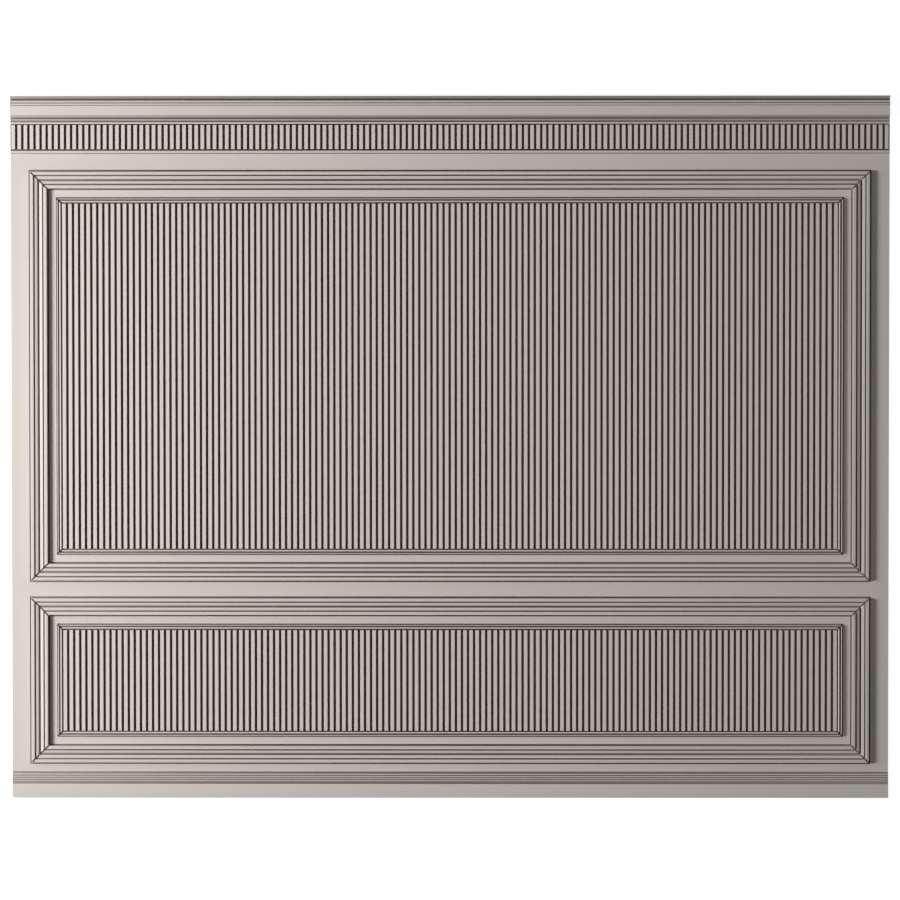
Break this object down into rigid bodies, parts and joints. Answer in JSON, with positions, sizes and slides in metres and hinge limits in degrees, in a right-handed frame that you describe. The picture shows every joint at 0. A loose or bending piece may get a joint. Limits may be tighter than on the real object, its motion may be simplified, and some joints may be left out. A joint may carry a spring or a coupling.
{
  "type": "wall panel",
  "caption": "Painted boiserie wall panel with a projecting cornice, ribbed frieze, mitred frame mouldings round two ribbed fields, and a moulded skirting.",
  "frame": {"origin": "centre of the back face of the backing board", "axes": "The panel lies on its back. X runs along its width, +Y points to its top edge with the cornice, +Z points out of its face."},
  "size_m": [3.5, 2.8, 0.072],
  "materials": {
    "painted_board": "matt greige paint on medium density fibreboard"
  },
  "bodies": {
    "root": {"backing_board": "painted_board", "cornice": "painted_board", "frieze_ribs": "painted_board", "frieze_fillet": "painted_board", "skirting_board": "painted_board", "upper_frame_top": "painted_board", "upper_frame_bottom": "painted_board", "upper_frame_left": "painted_board", "upper_frame_right": "painted_board", "lower_frame_top": "painted_board", "lower_frame_bottom": "painted_board", "lower_frame_left": "painted_board", "lower_frame_right": "painted_board", "upper_bead_top": "painted_board", "upper_bead_bottom": "painted_board", "upper_bead_left": "painted_board", "upper_bead_right": "painted_board", "lower_bead_top": "painted_board", "lower_bead_bottom": "painted_board", "lower_bead_left": "painted_board", "lower_bead_right": "painted_board", "upper_ribs": "painted_board", "lower_ribs": "painted_board"}
  },
  "joints": []
}
